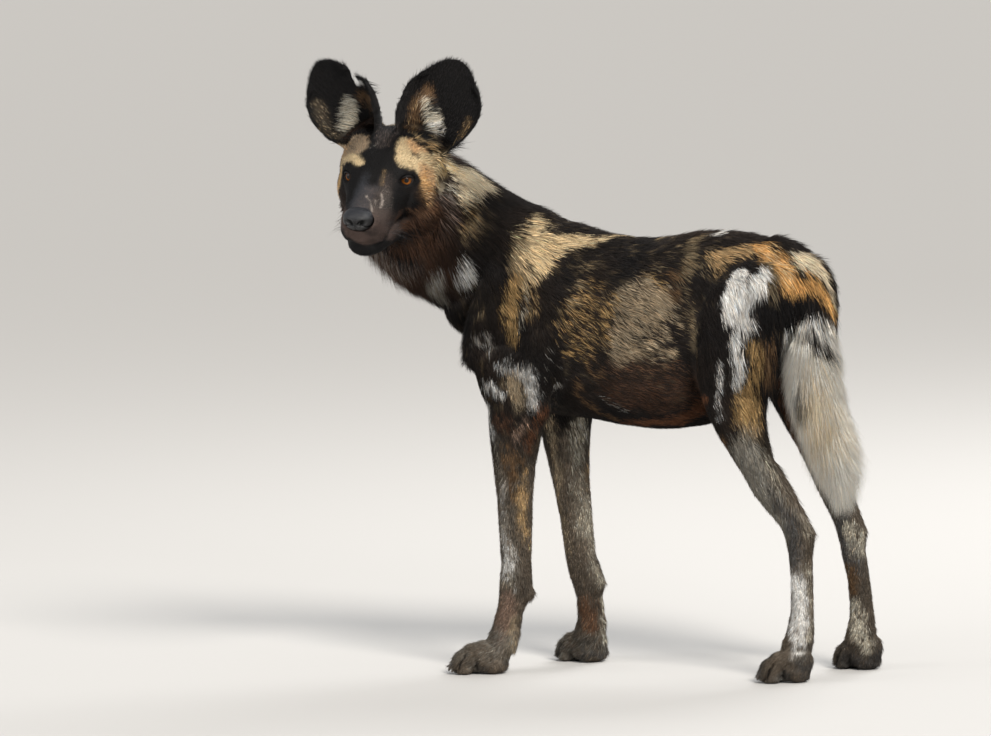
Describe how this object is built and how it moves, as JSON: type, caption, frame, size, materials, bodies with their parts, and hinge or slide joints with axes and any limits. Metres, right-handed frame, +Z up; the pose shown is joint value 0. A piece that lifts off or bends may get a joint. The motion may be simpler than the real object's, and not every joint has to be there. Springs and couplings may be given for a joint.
{
  "type": "african wild dog",
  "caption": "Life-size standing African wild dog, head turned over its left shoulder, with large rounded ears, one of them torn, and a hanging bushy tail.",
  "frame": {"origin": "middle of the bounding box's base, on the floor the paws stand on", "axes": "+Z up; the body faces -X, and its left side is towards -Y"},
  "size_m": [0.8004, 0.4554, 0.8963],
  "materials": {
    "dark_coat": "short fur, matt",
    "tan_coat": "short fur, matt",
    "grey_coat": "short fur, matt",
    "white_coat": "short fur, matt",
    "nose_leather": "smooth, slightly damp",
    "eye": "glossy"
  },
  "bodies": {
    "root": {"torso": "dark_coat", "neck": "dark_coat", "head": "tan_coat", "nose": "nose_leather", "eye_left": "eye", "eye_right": "eye", "ear_left": "dark_coat", "ear_right": "dark_coat", "foreleg_left": "grey_coat", "foreleg_right": "grey_coat", "forepaw_left": "grey_coat", "forepaw_right": "grey_coat", "thigh_left": "dark_coat", "thigh_right": "dark_coat", "shank_left": "grey_coat", "shank_right": "grey_coat", "metatarsus_left": "grey_coat", "metatarsus_right": "grey_coat", "hindpaw_left": "grey_coat", "hindpaw_right": "grey_coat", "tail_root": "tan_coat", "tail_brush": "white_coat"}
  },
  "joints": []
}
